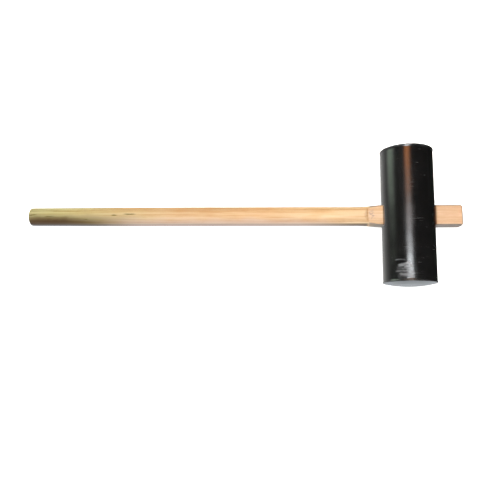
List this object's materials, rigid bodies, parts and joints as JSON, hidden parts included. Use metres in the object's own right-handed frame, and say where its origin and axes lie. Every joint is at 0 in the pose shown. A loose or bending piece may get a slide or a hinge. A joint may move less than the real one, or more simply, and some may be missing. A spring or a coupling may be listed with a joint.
{
  "type": "long-handled rubber maul",
  "caption": "Solid cylindrical rubber head with crowned faces, driven on the rectangular tenon of a long round wooden handle that stands out past the head and is wedged.",
  "frame": {"origin": "middle of the cylindrical grip, on the handle's axis", "axes": "+X along the handle towards the head, +Y along the head's axis, +Z square to both, out of the tenon's wide face"},
  "size_m": [0.914, 0.294, 0.1102],
  "materials": {
    "rubber": "glossy moulded, scuffed near one face",
    "handle_wood": "sanded, oiled ash",
    "wedge_wood": "rough sawn hardwood",
    "wedge_steel": "mill scale, bright where struck"
  },
  "bodies": {
    "root": {"rubber_head": "rubber", "handle": "handle_wood", "wood_wedge": "wedge_wood", "steel_wedges": "wedge_steel"}
  },
  "joints": []
}
